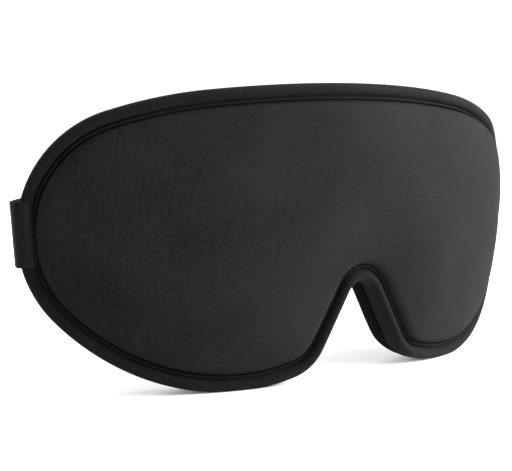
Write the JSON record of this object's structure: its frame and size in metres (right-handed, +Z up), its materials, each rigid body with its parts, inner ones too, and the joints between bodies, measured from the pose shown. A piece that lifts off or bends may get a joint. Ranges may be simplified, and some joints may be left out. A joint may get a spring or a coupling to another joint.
{
  "type": "contoured eye patch",
  "caption": "Padded contoured eye patch for both eyes, with concave eye cups, a nose notch and an adjustable elastic head strap.",
  "frame": {"origin": "on the floor under the middle of the whole object, strap included", "axes": "+X to the viewer's right, front face towards -Y, +Z up"},
  "size_m": [0.2256, 0.0746, 0.0975],
  "materials": {
    "face_knit": "fine matte knit",
    "rim_knit": "fine matte knit",
    "cushion_knit": "soft brushed knit",
    "lining": "smooth lining",
    "foam": "open foam",
    "elastic": "woven elastic",
    "thread": "polyester thread",
    "hardware": "moulded black plastic"
  },
  "bodies": {
    "mask": {"front_cover": "face_knit", "front_foam": "foam", "seam_bead": "rim_knit", "rim_binding": "rim_knit", "blackout_sheet": "lining", "core_foam": "foam", "back_lining": "lining", "back_cushion": "foam", "cushion_cover": "cushion_knit", "left_eye_cup": "cushion_knit", "right_eye_cup": "cushion_knit", "left_strap_tab": "elastic", "right_strap_tab": "elastic"},
    "head_strap": {"left_strap_bend": "elastic", "right_strap_bend": "elastic", "left_strap": "elastic", "right_strap": "elastic", "strap_tail": "elastic", "strap_ring": "hardware", "ring_bartack": "thread"},
    "slider": {"strap_slider": "hardware", "slider_loop": "elastic", "slider_bartack": "thread"}
  },
  "joints": [
    {"name": "strap_swing", "type": "hinge", "parent": "mask", "child": "head_strap", "pos_m": [0, 0.02165, 0.051], "axis": [1, 0, 0], "range_deg": [-60, 75], "deforming": ["left_strap_bend", "right_strap_bend"]},
    {"name": "slider_slide", "type": "slide", "parent": "head_strap", "child": "slider", "axis": [1, 0, 0], "range_m": [-0.03, 0.04], "deforming": ["strap_tail"]}
  ]
}
